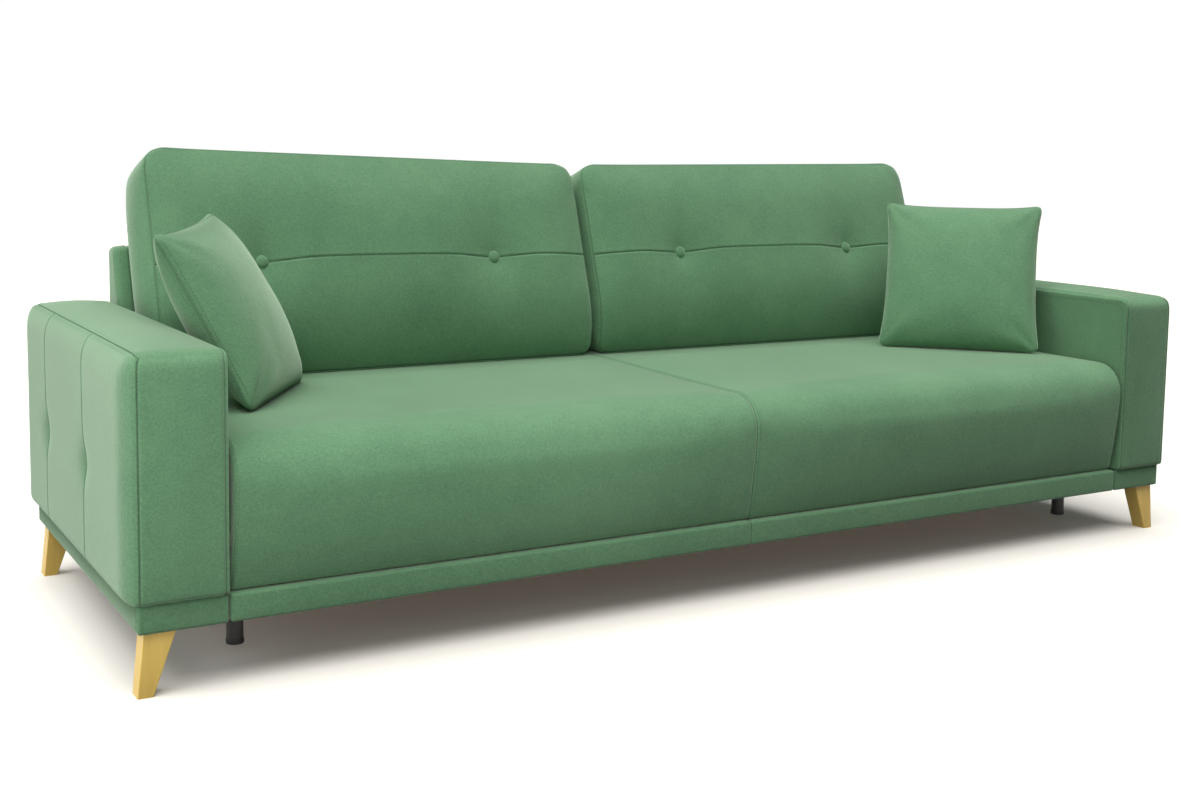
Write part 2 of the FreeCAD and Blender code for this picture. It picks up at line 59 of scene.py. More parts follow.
camera_place = Vector((-1.8134, -2.8839, 0.9203))
camera_yaw, camera_down, camera_roll = (math.radians(a) for a in (30.62, 5.83, 0.87))
view_line = Vector((math.sin(camera_yaw) * math.cos(camera_down),
                    math.cos(camera_yaw) * math.cos(camera_down), -math.sin(camera_down)))
level = Vector((math.cos(camera_yaw), -math.sin(camera_yaw), 0))
upward = level.cross(view_line)
camera_x = level * math.cos(camera_roll) + upward * math.sin(camera_roll)
camera_y = upward * math.cos(camera_roll) - level * math.sin(camera_roll)
camera = bpy.data.objects.new("camera", bpy.data.cameras.new("camera"))
bpy.context.scene.collection.objects.link(camera)
turn = Matrix((camera_x, camera_y, -view_line)).transposed()
camera.matrix_world = Matrix.Translation(camera_place) @ turn.to_4x4()
camera.data.lens = 45.0
camera.data.sensor_width = 36.0
camera.data.shift_y = -0.083
bpy.context.scene.camera = camera

for name, kind, place, aim, size, power in (
        ("overhead_softbox", "SUN", (-0.6, -0.5, 4.0), (0, 0, 0), (1.25, 0), 4.1),
        ("left_softbox", "AREA", (-3.4, -0.3, 0.7), (-1.2, 0, 0.25), (1.8, 1.2), 25),
        ("floor_bounce", "AREA", (-1.45, -1.55, 0.01), (-1.45, -1.55, 2.0), (2.8, 1.3), 24),
        ("rear_softbox", "AREA", (0.6, 3.4, 0.9), (0, 0, 0.4), (3.0, 1.2), 26),
        ("front_left_softbox", "AREA", (-2.6, -3.9, 2.2), (-0.3, 0, 0.3), (2.0, 1.6), 23)):
    lamp = bpy.data.lights.new(name, kind)
    if kind == "SUN":
        lamp.angle = size[0]
    else:
        lamp.shape = "RECTANGLE"
        lamp.size, lamp.size_y = size
    lamp.energy = power
    light = bpy.data.objects.new(name, lamp)
    light.location = place
    light.rotation_euler = (Vector(aim) - Vector(place)).to_track_quat("-Z", "Y").to_euler()
    light.visible_camera = False
    bpy.context.scene.collection.objects.link(light)

floor_half, surround_radius = 14, 24
world = bpy.data.worlds.new("studio_air")
world.use_nodes = True
world.node_tree.nodes["Background"].inputs["Color"].default_value = (1.0, 1.0, 1.0, 1)
world.node_tree.nodes["Background"].inputs["Strength"].default_value = 0.10
bpy.context.scene.world = world


def plain_finish(name, color, roughness, glow=0.0):
    """A plain studio surface, with a faint glow where it has to read as white."""
    finish = bpy.data.materials.new(name)
    finish.use_nodes = True
    shader = finish.node_tree.nodes["Principled BSDF"]
    shader.inputs["Base Color"].default_value = (*color, 1)
    shader.inputs["Roughness"].default_value = roughness
    shader.inputs["Emission Color"].default_value = (1, 1, 1, 1)
    shader.inputs["Emission Strength"].default_value = glow
    return finish


def studio_object(name, build, finish):
    """A stage object whose mesh the given function builds."""
    shape = bmesh.new()
    build(shape)
    mesh = bpy.data.meshes.new(name)
    shape.to_mesh(mesh)
    shape.free()
    mesh.materials.append(finish)
    thing = bpy.data.objects.new(name, mesh)
    bpy.context.scene.collection.objects.link(thing)
    return thing


floor = studio_object("floor", lambda shape: bmesh.ops.create_grid(shape, size=floor_half),
                      plain_finish("white_floor", (0.96, 0.92, 0.85), 0.9, 0.025))
surround = studio_object(
    "surround", lambda shape: bmesh.ops.create_uvsphere(
        shape, u_segments=48, v_segments=24, radius=surround_radius),
    plain_finish("white_surround", (0, 0, 0), 1, 1.0))
floor.visible_diffuse = False
surround.visible_diffuse = surround.visible_glossy = surround.visible_shadow = False
surround.visible_transmission = False

# ---- Wooden legs and leg bolts ---------------------------------------------------------
# Four splayed legs of pale lacquered wood, turned outward, each on a bolt up into a block
# inside the arm's plinth. The grain runs down the leg.


def feed(tree, socket, value):
    """Links another node's output to a socket, or sets the socket to a plain value."""
    if isinstance(value, bpy.types.NodeSocket):
        tree.links.new(value, socket)
    else:
        socket.default_value = value


def node(tree, kind, **sockets):
    """Adds a shader node and feeds its sockets."""
    made = tree.nodes.new(kind)
    for key, value in sockets.items():
        feed(tree, made.inputs[key], value)
    return made


def noise(tree, scale, detail=2.0, roughness=0.5, stretch=None):
    """Noise in the piece's own coordinates, stretched by a mapping if one is given."""
    where = tree.nodes.new("ShaderNodeTexCoord").outputs["Object"]
    if stretch:
        where = node(tree, "ShaderNodeMapping", Vector=where, Scale=stretch).outputs[0]
    return node(tree, "ShaderNodeTexNoise", Vector=where, Scale=scale, Detail=detail,
                Roughness=roughness).outputs["Fac"]


def shift(tree, value, low, high, out_low, out_high):
    """Maps low..high of a value to another range."""
    made = node(tree, "ShaderNodeMapRange", Value=value)
    for key, number in (("From Min", low), ("From Max", high), ("To Min", out_low), ("To Max", out_high)):
        made.inputs[key].default_value = number
    return made.outputs["Result"]


def join(tree, operation, a, b):
    """Adds, multiplies or otherwise joins two values."""
    made = tree.nodes.new("ShaderNodeMath")
    made.operation = operation
    for socket, value in zip(made.inputs, (a, b)):
        feed(tree, socket, value)
    return made.outputs[0]


def blend_colors(tree, factor, a, b):
    """Mixes two colours, each a node's output or three numbers."""
    made = tree.nodes.new("ShaderNodeMix")
    made.data_type = "RGBA"
    for key, value in (("Factor_Float", factor), ("A_Color", a), ("B_Color", b)):
        socket = next(s for s in made.inputs if s.identifier == key)
        feed(tree, socket, (*value, 1) if isinstance(value, tuple) else value)
    return next(s for s in made.outputs if s.identifier == "Result_Color")


def surface_bump(tree, shader, layers):
    """Stacks bump layers, each a height and its distance in metres."""
    normal = None
    for height, distance in layers:
        made = node(tree, "ShaderNodeBump", Height=height, Distance=distance)
        if normal:
            tree.links.new(normal, made.inputs["Normal"])
        normal = made.outputs["Normal"]
    tree.links.new(normal, shader.inputs["Normal"])


def new_finish(name, **constants):
    """A material with its tree and shader, and the shader's constants set on its own sockets."""
    finish = bpy.data.materials.new(name)
    finish.use_nodes = True
    tree = finish.node_tree
    shader = tree.nodes["Principled BSDF"]
    for key, value in constants.items():
        shader.inputs[key.replace("_", " ")].default_value = value
    return finish, tree, shader


def wood(name, light, dark, grain, gloss):
    """Wood whose grain is stretched along one axis, under as much lacquer as gloss says."""
    finish, tree, shader = new_finish(name, Coat_Weight=gloss, Coat_Roughness=0.25)
    bands = noise(tree, 38.0, 4.0, 0.6, stretch=grain)
    pores = noise(tree, 260.0, 2.0, 0.7, stretch=tuple(g * 0.8 for g in grain))
    tone = join(tree, "ADD", shift(tree, bands, 0.3, 0.7, 0.1, 0.75),
                shift(tree, pores, 0.3, 0.7, -0.12, 0.2))
    tree.links.new(blend_colors(tree, tone, dark, light), shader.inputs["Base Color"])
    tree.links.new(shift(tree, pores, 0.3, 0.7, 0.38, 0.6), shader.inputs["Roughness"])
    surface_bump(tree, shader, [(pores, 0.0002)])
    return finish


def dress(finish, *names):
    """Gives carried-over construction nodes their material."""
    for name in names:
        nodes[name].data.materials.clear()
        nodes[name].data.materials.append(finish)


leg_wood = wood("lacquered_pale_wood", (0.95, 0.66, 0.16), (0.80, 0.52, 0.11), (1.0, 1.0, 0.09), 0.25)
dress(leg_wood, "front_left_leg", "front_right_leg", "rear_left_leg", "rear_right_leg")


def metal(name, color, metallic, rough_low, rough_high, grain_size, grain_height):
    """Metal, powder coat or hard plastic: a fine grain, and a little wear that lightens it."""
    finish, tree, shader = new_finish(name, Metallic=metallic)
    grain = noise(tree, grain_size, 3.0, 0.6)
    wear = noise(tree, 14.0, 4.0, 0.6)
    worn = tuple(min(1, 1.35 * c + 0.004) for c in color)
    tree.links.new(blend_colors(tree, shift(tree, wear, 0.35, 0.65, 0.0, 1.0), color, worn),
                   shader.inputs["Base Color"])
    tree.links.new(shift(tree, grain, 0.3, 0.7, rough_low, rough_high), shader.inputs["Roughness"])
    surface_bump(tree, shader, [(grain, grain_height)])
    return finish


zinc = metal("bright_zinc", (0.56, 0.56, 0.58), 1.0, 0.24, 0.42, 300.0, 0.0001)
dress(zinc, "leg_bolts", "base_bolts")

# ---- Base between the arms -------------------------------------------------------------
# Planed softwood rails and blocks, and a thin panel that makes the bedding box floor. The
# rails bolt through the arms' plinths.
pine_light, pine_dark = (0.70, 0.52, 0.32), (0.50, 0.34, 0.18)
softwood = wood("planed_softwood", pine_light, pine_dark, (0.10, 1.0, 1.0), 0.0)
upright_softwood = wood("planed_softwood_upright", pine_light, pine_dark, (1.0, 1.0, 0.1), 0.0)
hardboard = wood("pressed_board", (0.40, 0.27, 0.15), (0.30, 0.19, 0.10), (1.0, 1.0, 1.0), 0.0)
dress(softwood, "base_front_rail", "left_side_rail", "right_side_rail", "seat_frame", "seat_front_board",
      "left_leg_blocks", "right_leg_blocks")
dress(upright_softwood, "left_arm_frame", "right_arm_frame", "backrest_frame")
dress(hardboard, "box_panel", "left_arm_panels", "right_arm_panels")

# ---- Stepping mechanism ----------------------------------------------------------------
# Flat steel plates and links in black powder coat, with bare pivots: the seat steps forward on
# them. The two round support legs under the seat have black plastic end caps.
black_steel = metal("black_powder_coat", (0.016, 0.015, 0.014), 0.0, 0.42, 0.6, 900.0, 0.0002)
black_cap = metal("black_plastic", (0.012, 0.012, 0.012), 0.0, 0.5, 0.7, 500.0, 0.0001)
steel_parts = ("base_plate", "seat_plate", "front_link", "rear_link", "support_leg", "backrest_bracket",
               "backrest_pin")
dress(black_steel, *(side + "_" + part for side in ("left", "right") for part in steel_parts))
dress(black_cap, "support_leg_caps")

# ---- Springs and straps ----------------------------------------------------------------
# Zigzag springs of bright wire across the seat frame; woven elastic straps up the backrest.
spring_wire = metal("spring_wire", (0.42, 0.42, 0.43), 1.0, 0.3, 0.5, 700.0, 0.0001)
dress(spring_wire, "seat_springs")
webbing, web_tree, web_shader = new_finish("woven_elastic", Sheen_Weight=0.2)
ribs = node(web_tree, "ShaderNodeTexWave", Scale=420.0, Distortion=1.0,
            Vector=web_tree.nodes.new("ShaderNodeTexCoord").outputs["Object"]).outputs["Fac"]
web_tree.links.new(blend_colors(web_tree, ribs, (0.16, 0.14, 0.11), (0.34, 0.30, 0.25)),
                   web_shader.inputs["Base Color"])
web_tree.links.new(shift(web_tree, ribs, 0.0, 1.0, 0.95, 0.75), web_shader.inputs["Roughness"])
surface_bump(web_tree, web_shader, [(ribs, 0.0004)])
dress(webbing, "backrest_straps")

# ---- Arm plinths, seat plinth and rear wall --------------------------------------------
# Straight boards wrapped in the same velour over thin wadding, set back under the pads. They
# carry the arms and close the front and the back of the base. A seam runs down near each corner.
pile_dark, pile_light = (0.094, 0.212, 0.111), (0.152, 0.304, 0.162)
brush_marks, clouding, pile_speckle, pile_grain = 3.6, 24.0, 270.0, 900.0
seam_depth, seam_reach = 0.0032, 0.0055
# seam_shade sets how strongly painted shade darkens the velour's colour in the seam grooves.
seam_lines, seam_shade = (0.0018, 0.0038, 0.0062, 0.011), 0.62
board_edge, board_step, board_side_step = 0.006, 0.045, 0.02
board_seam_depth, plinth_seam_inset, rear_seams = 0.0022, 0.012, (-0.36, 0.36)

velour_cover, velour_tree, velour_shader = new_finish(
    "sage_velour", Sheen_Weight=0.8, Sheen_Roughness=0.42, Sheen_Tint=(0.80, 0.95, 0.76, 1),
    Specular_IOR_Level=0.12)
brushed = noise(velour_tree, brush_marks, 3.0, 0.55)
clouded = noise(velour_tree, clouding, 3.0, 0.6)
grain = noise(velour_tree, pile_grain, 2.0, 0.7)
speckle = noise(velour_tree, pile_speckle, 2.0, 0.75)
lay = join(velour_tree, "ADD", shift(velour_tree, brushed, 0.3, 0.7, 0.18, 0.62),
           shift(velour_tree, clouded, 0.3, 0.7, 0.0, 0.26))
lay = join(velour_tree, "ADD", lay, shift(velour_tree, grain, 0.3, 0.7, -0.2, 0.2))
lay = join(velour_tree, "ADD", lay, shift(velour_tree, speckle, 0.3, 0.7, -0.42, 0.42))
# Painted shade in the seams: where the seam attribute is high, the base colour darkens towards a deep green.
painted_seam_shade = velour_tree.nodes.new("ShaderNodeAttribute")
painted_seam_shade.attribute_name = "seam"
velour_tree.links.new(
    blend_colors(velour_tree, join(velour_tree, "MULTIPLY", painted_seam_shade.outputs["Fac"], seam_shade),
                 blend_colors(velour_tree, lay, pile_dark, pile_light), tuple(0.35 * c for c in pile_dark)),
    velour_shader.inputs["Base Color"])
velour_tree.links.new(shift(velour_tree, clouded, 0.3, 0.7, 0.78, 0.94), velour_shader.inputs["Roughness"])
surface_bump(velour_tree, velour_shader, [(noise(velour_tree, 95.0, 3.0, 0.6), 0.0007), (grain, 0.00035)])


def lines(low, high, step, near=()):
    """Lattice lines from low to high, about step apart, with exact lines at each place in near."""
    fixed = sorted({round(v, 6) for v in (low, high, *near) if low - 1e-9 <= v <= high + 1e-9})
    out = [fixed[0]]
    for a, b in zip(fixed, fixed[1:]):
        count = max(1, round((b - a) / step))
        out += [a + (b - a) * (k + 1) / count for k in range(count)]
    return out


def around(places, *offsets):
    """Each place with lines at the offsets to both sides of it."""
    return [p + side * o for p in places for o in (0.0, *offsets) for side in (-1, 1)]


def box_lattice(us, vs, ws):
    """Points and faces of a box's skin, on every crossing of the given lines."""
    index, points, faces = {}, [], []

    def at(*key):
        if key not in index:
            index[key] = len(points)
            points.append((us[key[0]], vs[key[1]], ws[key[2]]))
        return index[key]

    nu, nv, nw = len(us) - 1, len(vs) - 1, len(ws) - 1
    for i in range(nu):
        for j in range(nv):
            for k in (0, nw):
                ring = [at(i, j, k), at(i + 1, j, k), at(i + 1, j + 1, k), at(i, j + 1, k)]
                faces.append(ring if k else ring[::-1])
    for i in range(nu):
        for k in range(nw):
            for j in (0, nv):
                ring = [at(i, j, k), at(i, j, k + 1), at(i + 1, j, k + 1), at(i + 1, j, k)]
                faces.append(ring if j else ring[::-1])
    for j in range(nv):
        for k in range(nw):
            for i in (0, nu):
                ring = [at(i, j, k), at(i, j + 1, k), at(i, j + 1, k + 1), at(i, j, k + 1)]
                faces.append(ring if i else ring[::-1])
    return np.array(points), faces


def round_edges(points, half, face_reach, side_reach):
    """Rounds where the W faces of a box meet its sides, over the two given reaches."""
    p, side = np.abs(points), np.sign(points)
    core = np.array([half[0] - face_reach, half[1] - face_reach, half[2] - side_reach])
    over = np.maximum(p - core, 0)
    s = np.maximum(over[:, 0], over[:, 1]) / face_reach
    t = over[:, 2] / side_reach
    scale = 1 / np.maximum(np.hypot(s, t), 1)
    return side * (np.minimum(p, core) + over * scale[:, None])


def round_corners(points, half_u, half_v, radius):
    """Rounds a box's four long corners, seen along W. The radius may differ from point to point."""
    p, side = np.abs(points), np.sign(points)
    a = np.maximum(p[:, 0] - (half_u - radius), 0) / radius
    b = np.maximum(p[:, 1] - (half_v - radius), 0) / radius
    p[:, 0] = np.minimum(p[:, 0], half_u - radius) + radius * a * np.sqrt(1 - b * b / 2)
    p[:, 1] = np.minimum(p[:, 1], half_v - radius) + radius * b * np.sqrt(1 - a * a / 2)
    return side * p


def make_piece(name, points, faces, finish, pattern=None):
    """A smooth mesh piece. pattern keeps each point's place on the flat panels, for the seams."""
    mesh = bpy.data.meshes.new(name)
    mesh.from_pydata([tuple(p) for p in points], [], [tuple(f) for f in faces])
    if pattern is not None:
        mesh.attributes.new("pattern", "FLOAT_VECTOR", "POINT").data.foreach_set(
            "vector", np.asarray(pattern, np.float32).ravel())
    shape = bmesh.new()
    shape.from_mesh(mesh)
    bmesh.ops.recalc_face_normals(shape, faces=shape.faces)
    shape.to_mesh(mesh)
    shape.free()
    mesh.materials.append(finish)
    mesh.polygons.foreach_set("use_smooth", [True] * len(mesh.polygons))
    piece = bpy.data.objects.new(name, mesh)
    bpy.context.scene.collection.objects.link(piece)
    return piece


def points_of(piece, attribute=None):
    """Each point's place, or what the named attribute holds there, as rows of three numbers."""
    rows = np.zeros(len(piece.data.vertices) * 3, np.float32)
    if attribute:
        piece.data.attributes[attribute].data.foreach_get("vector", rows)
    else:
        piece.data.vertices.foreach_get("co", rows)
    return rows.reshape(-1, 3).astype(float)


def set_points(piece, points):
    piece.data.vertices.foreach_set("co", np.asarray(points, np.float32).ravel())
    piece.data.update()


def normals_of(piece):
    rows = np.zeros(len(piece.data.vertices) * 3, np.float32)
    piece.data.vertex_normals.foreach_get("vector", rows)
    return rows.reshape(-1, 3).astype(float)


def sink_seams(piece, distance, depth=seam_depth, reach=seam_reach):
    """Sinks the surface into its seams and marks each groove for painted shade. distance is each point's
    distance from the nearest one.
    """
    near = np.clip(1 - distance / reach, 0, 1)
    ridge = np.exp(-((distance - 1.5 * reach) / (0.7 * reach)) ** 2) * 0.12
    set_points(piece, points_of(piece) - normals_of(piece) * (depth * (near ** 1.7 - ridge))[:, None])
    # The seam attribute marks painted shade: the velour's colour is darkened along the groove, also where a
    # welt stands out.
    dark = np.clip(1 - distance / (0.42 * reach), 0, 1)
    piece.data.attributes.new("seam", "FLOAT", "POINT").data.foreach_set(
        "value", dark.astype(np.float32))


def covered_board(name, body, low, high, long_axis, seams, *stood_for):
    """A velour-wrapped board: its long axis is 0 for X or 1 for Y, seams are places along it."""
    low, high = np.array(low), np.array(high)
    centre, size = (low + high) / 2, (high - low) / 2
    order = (long_axis, 2, 1 - long_axis)
    half = size[list(order)]
    places = [s - centre[long_axis] for s in seams]
    rim = (0.0, 0.002, 0.004, board_edge)
    lattice = [lines(-h, h, board_step if k == 0 else board_side_step,
                     [s * (h - r) for s in (-1, 1) for r in rim]
                     + (around(places, *seam_lines[:3]) if k == 0 else []))
               for k, h in enumerate(half)]
    flat, faces = box_lattice(*lattice)
    shaped = round_corners(round_edges(flat, half, board_edge, board_edge), half[0], half[1],
                           np.full(len(flat), board_edge))
    points = np.zeros_like(shaped)
    points[:, list(order)] = shaped
    piece = make_piece(name, points + centre, faces, velour_cover, flat)
    flat = points_of(piece, "pattern")
    gap = np.full(len(flat), 1.0)
    for p in places:
        gap = np.minimum(gap, np.abs(flat[:, 0] - p))
    sink_seams(piece, gap, board_seam_depth)
    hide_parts(*stood_for)
    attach(piece, body)


for side in ("left", "right"):
    low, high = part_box(side + "_arm_plinth")
    covered_board(side + "_plinth_cover", "base", low, high, 1,
                  (low.y + plinth_seam_inset, high.y - plinth_seam_inset), side + "_arm_plinth")
low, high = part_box("seat_plinth")
covered_board("seat_plinth_cover", "seat", low, high, 0, (0.0,), "seat_plinth")
low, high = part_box("rear_wall")
covered_board("rear_wall_cover", "base", low, high, 0, rear_seams, "rear_wall")

# ---- Arms ------------------------------------------------------------------------------
# Foam over boards in a tight velour cover: one band runs up the front, over the top and down the
# back, and a panel is sewn to each side of it. The outer panel has two upright seams, each
# pulled in at a tuft.
arm_edge, arm_step, arm_outside_depth, arm_hem_up = 0.006, 0.018, 0.035, 0.012
arm_rim = (0, 0.001, 0.0025, 0.0045, arm_edge, 0.010, 0.017, 0.028, 0.042, 0.058)
arm_corners = {"front_top": 0.026, "rear_top": 0.038, "front_low": 0.010, "rear_low": 0.034}
arm_swell, arm_swell_reach, arm_crown = 0.018, 0.062, 0.012
arm_band_crown = 0.013
arm_tuft_height = 0.187
arm_tuft_from_front = (0.310, 0.650)
arm_tuft_depth = 0.010
thread_color = (0.040, 0.105, 0.055)
stitch_length, stitch_pitch, stitch_radius = 0.0042, 0.0066, 0.0008
stitch_offset = 0.0062

thread, thread_tree, thread_shader = new_finish("sewing_thread", Roughness=0.6)
thread_twist = noise(thread_tree, 1500.0, 1.0)
thread_tree.links.new(blend_colors(thread_tree, thread_twist, thread_color, pile_dark),
                      thread_shader.inputs["Base Color"])


def subdivide(piece):
    """Applies one subdivision, so that the final mesh is what rides on its body."""
    piece.modifiers.new("smooth", "SUBSURF").levels = 1
    graph = bpy.context.evaluated_depsgraph_get()
    mesh = bpy.data.meshes.new_from_object(
        piece.evaluated_get(graph), preserve_all_data_layers=True, depsgraph=graph)
    piece.modifiers.clear()
    piece.data = mesh
    mesh.polygons.foreach_set("use_smooth", [True] * len(mesh.polygons))


def stitches(name, body, piece, runs):
    """Topstitching: small thread beads laid along runs of points, on the surface of a piece."""
    tree = BVHTree.FromPolygons([v.co for v in piece.data.vertices],
                                [tuple(f.vertices) for f in piece.data.polygons])
    points, faces = [], []
    for run in runs:
        run = np.asarray(run, float)
        along = np.concatenate([[0], np.cumsum(np.linalg.norm(np.diff(run, axis=0), axis=1))])
        for start in np.arange(stitch_pitch / 2, along[-1] - stitch_length, stitch_pitch):
            ends = []
            for d in (start, start + stitch_length):
                place = Vector([np.interp(d, along, run[:, k]) for k in range(3)])
                spot, up, _, _ = tree.find_nearest(place)
                ends.append(spot + up * stitch_radius * 0.35)
            course = (ends[1] - ends[0]).normalized()
            across = course.cross(up).normalized()
            base = len(points)
            middle = [ends[0].lerp(ends[1], f) for f in (0.25, 0.75)]
            points.append(ends[0] - up * stitch_radius)
            for m in middle:
                points += [m + across * stitch_radius, m + up * stitch_radius,
                           m - across * stitch_radius, m - up * stitch_radius]
            points.append(ends[1] - up * stitch_radius)
            for k in range(4):
                a, b = base + 1 + k, base + 1 + (k + 1) % 4
                faces += [(base, b, a), (a, b, b + 4, a + 4), (a + 4, b + 4, base + 9)]
    row = make_piece(name, points, faces, thread)
    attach(row, body)


def fall_off(*rims, power=3.0):
    """How far a padded panel falls away near its rims: each is (distance from it, reach, depth)."""
    drops = [depth * np.clip(1 - distance / reach, 0, 1) ** power for distance, reach, depth in rims]
    return np.sqrt(np.sum(np.square(drops), axis=0))


def upholstered_arm(side):
    """One arm: u runs to the rear, v up and w outward, each from the arm's middle."""
    sign = -1 if side == "left" else 1
    low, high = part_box(side + "_arm_upholstery")
    low, high = np.array(low), np.array(high)
    centre = (low + high) / 2
    half = ((high - low) / 2)[[1, 2, 0]]
    tufts = [low[1] + d - centre[1] for d in arm_tuft_from_front]
    tuft_v = low[2] + arm_tuft_height - centre[2]
    band_seam = half[2] - arm_edge
    flat, faces = box_lattice(
        lines(-half[0], half[0], arm_step, [s * (half[0] - r) for s in (-1, 1) for r in arm_rim]
              + around(tufts, *seam_lines)),
        lines(-half[1], half[1], arm_step, [s * (half[1] - r) for s in (-1, 1) for r in arm_rim]
              + around([tuft_v], 0.008, 0.016)),
        lines(-half[2], half[2], arm_step, around((-band_seam, band_seam), *seam_lines)))
    u, v, w = flat.T
    corner = np.where(v > 0, np.where(u > 0, arm_corners["rear_top"], arm_corners["front_top"]),
                      np.where(u > 0, arm_corners["rear_low"], arm_corners["front_low"]))
    shaped = round_corners(round_edges(flat, half, arm_edge, arm_edge), half[0], half[1], corner)
    from_end, from_top, from_foot = half[0] - np.abs(u), half[1] - v, half[1] + v
    drop = fall_off((from_end, arm_swell_reach, arm_swell), (from_top, arm_swell_reach, arm_swell),
                    (from_foot, 0.4 * arm_swell_reach, 0.5 * arm_swell))
    near_outside = np.clip((w - half[2] + arm_outside_depth) / arm_outside_depth, 0, 1)
    drop -= arm_crown
    for tuft in tufts:
        du, dv = np.abs(u - tuft), v - tuft_v
        pull = np.exp(-du / 0.018 - (dv / 0.032) ** 2) + 0.08 * np.exp(-du / 0.012 - (dv / 0.12) ** 2)
        drop += arm_tuft_depth * pull
    shaped[:, 2] -= drop * near_outside
    band = arm_band_crown * (1 - (w / half[2]) ** 2)
    shaped[:, 0] -= np.where(half[0] + u < 1e-6, 0.4 * band * (1 - (v / half[1]) ** 6), 0)
    shaped[:, 1] += np.where(from_top < 1e-6, band * (1 - (u / half[0]) ** 6), 0)
    points = shaped[:, [2, 0, 1]] * (sign, 1, 1) + centre
    piece = make_piece(side + "_arm_cover", points, faces, velour_cover, flat)
    subdivide(piece)
    flat = points_of(piece, "pattern")
    gap = np.minimum(np.abs(flat[:, 2] - band_seam), np.abs(flat[:, 2] + band_seam))
    outside = flat[:, 2] > half[2] - 0.002
    for tuft in tufts:
        gap = np.where(outside, np.minimum(gap, np.abs(flat[:, 0] - tuft) * 1.6), gap)
    sink_seams(piece, gap)
    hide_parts(side + "_arm_upholstery")
    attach(piece, "base")

    def run_over(inset, w):
        """A run up the front, over the top and down the back, inset from the edge of the arm."""
        path = [(inset - half[0], arm_hem_up - half[1])]
        for end, key in ((-1, "front_top"), (1, "rear_top")):
            r = arm_corners[key]
            turn = [(end * (half[0] - inset - r + r * math.cos(a)), half[1] - inset - r + r * math.sin(a))
                    for a in np.linspace(0, math.pi / 2, 7)]
            path += turn if end < 0 else turn[::-1]
        path.append((half[0] - inset, arm_hem_up - half[1]))
        return [centre + (sign * w, u, v) for u, v in path]

    stitches(side + "_arm_stitches", "base", piece,
             [run_over(0.0, band_seam - stitch_offset), run_over(arm_edge + stitch_offset, -half[2])])


upholstered_arm("left")
upholstered_arm("right")

# ---- Seat pad --------------------------------------------------------------------------
# One long foam pad on the springs. Its cover rolls over the front, bellies and tucks in above the
# plinth; a seam at the middle runs from the back over the front, and a panel closes each end.
lean = math.radians(19.0)
seat_low, seat_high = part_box("seat_cushion")
seat_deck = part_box("seat_frame")[1].z
seat_roll, seat_tuck, seat_tuck_power = 0.072, 0.026, 1.8
seat_end_round, seat_profile_step, seat_length_step = 0.008, 0.014, 0.022
seat_blow, seat_sag, seat_seam_depth, seat_fixed_rear = 0.005, 0.0045, 0.0028, 0.12
cloth_stiffness, cloth_frames = 15.0, 20


def inflate(piece, held, pressure, cap):
    """Blows the cover out with cloth pressure. Held points stay; no point moves further than cap."""
    rest = points_of(piece)
    group = piece.vertex_groups.new(name="held")
    group.add([int(i) for i in np.flatnonzero(held)], 1.0, "REPLACE")
    cloth = piece.modifiers.new("cover", "CLOTH")
    cloth.settings.vertex_group_mass = "held"
    cloth.settings.use_pressure = True
    cloth.settings.uniform_pressure_force = pressure
    cloth.settings.effector_weights.gravity = 0
    cloth.settings.tension_stiffness = cloth.settings.compression_stiffness = cloth_stiffness
    cloth.point_cache.frame_start, cloth.point_cache.frame_end = 1, cloth_frames
    for step in range(1, cloth_frames + 1):
        bpy.context.scene.frame_set(step)
    blown = piece.evaluated_get(bpy.context.evaluated_depsgraph_get()).data
    co = np.zeros(len(rest) * 3, np.float32)
    blown.vertices.foreach_get("co", co)
    move = co.reshape(-1, 3) - rest
    length = np.maximum(np.linalg.norm(move, axis=1), 1e-9)
    piece.modifiers.remove(cloth)
    piece.vertex_groups.remove(group)
    bpy.context.scene.frame_set(1)
    set_points(piece, rest + move * (cap * np.tanh(length / cap) / length)[:, None])


def arc(centre, radius, start, end, count):
    """Points of an arc, angles in degrees from +Y towards +Z."""
    return [(centre[0] + radius * math.cos(math.radians(a)), centre[1] + radius * math.sin(math.radians(a)))
            for a in np.linspace(start, end, count)]


def spaced(outline, step):
    """The closed outline again, with points added on its long runs."""
    out = []
    for a, b in zip(outline, outline[1:] + outline[:1]):
        count = max(1, round(math.dist(a, b) / step))
        out += [tuple(np.array(a) + (np.array(b) - np.array(a)) * k / count) for k in range(count)]
    return out


def outline_normals(outline):
    """Outward normals of a closed (y, z) outline that runs clockwise seen from +X."""
    p = np.array(outline)
    along = np.roll(p, -1, 0) - np.roll(p, 1, 0)
    along /= np.linalg.norm(along, axis=1)[:, None]
    out = np.stack([-along[:, 1], along[:, 0]], 1)
    area = 0.5 * np.sum(p[:, 0] * np.roll(p[:, 1], -1) - np.roll(p[:, 0], -1) * p[:, 1])
    return out if area < 0 else -out


def long_pad(name, outline, xs, round_reach, caps, finish):
    """Sweeps a side outline along X, rounds it into its two ends and closes them with flat panels."""
    outline = np.array(outline)
    away = outline_normals(outline)
    half, count = xs[-1], len(outline)
    points, pattern, faces = [], [], []
    for x in xs:
        t = max(0.0, (abs(x) - (half - round_reach)) / round_reach)
        inset = round_reach * (1 - math.sqrt(max(0.0, 1 - t * t)))
        ring = outline - away * inset
        points += [(x, y, z) for y, z in ring]
        pattern += [(x, s, 0) for s in range(count)]
    for i in range(len(xs) - 1):
        for s in range(count):
            a, b = i * count + s, i * count + (s + 1) % count
            faces.append((a, b, b + count, a + count))
    last = (len(xs) - 1) * count
    for cap in caps:
        faces += [cap[::-1], [last + s for s in cap]]
    return make_piece(name, points, faces, finish, pattern)


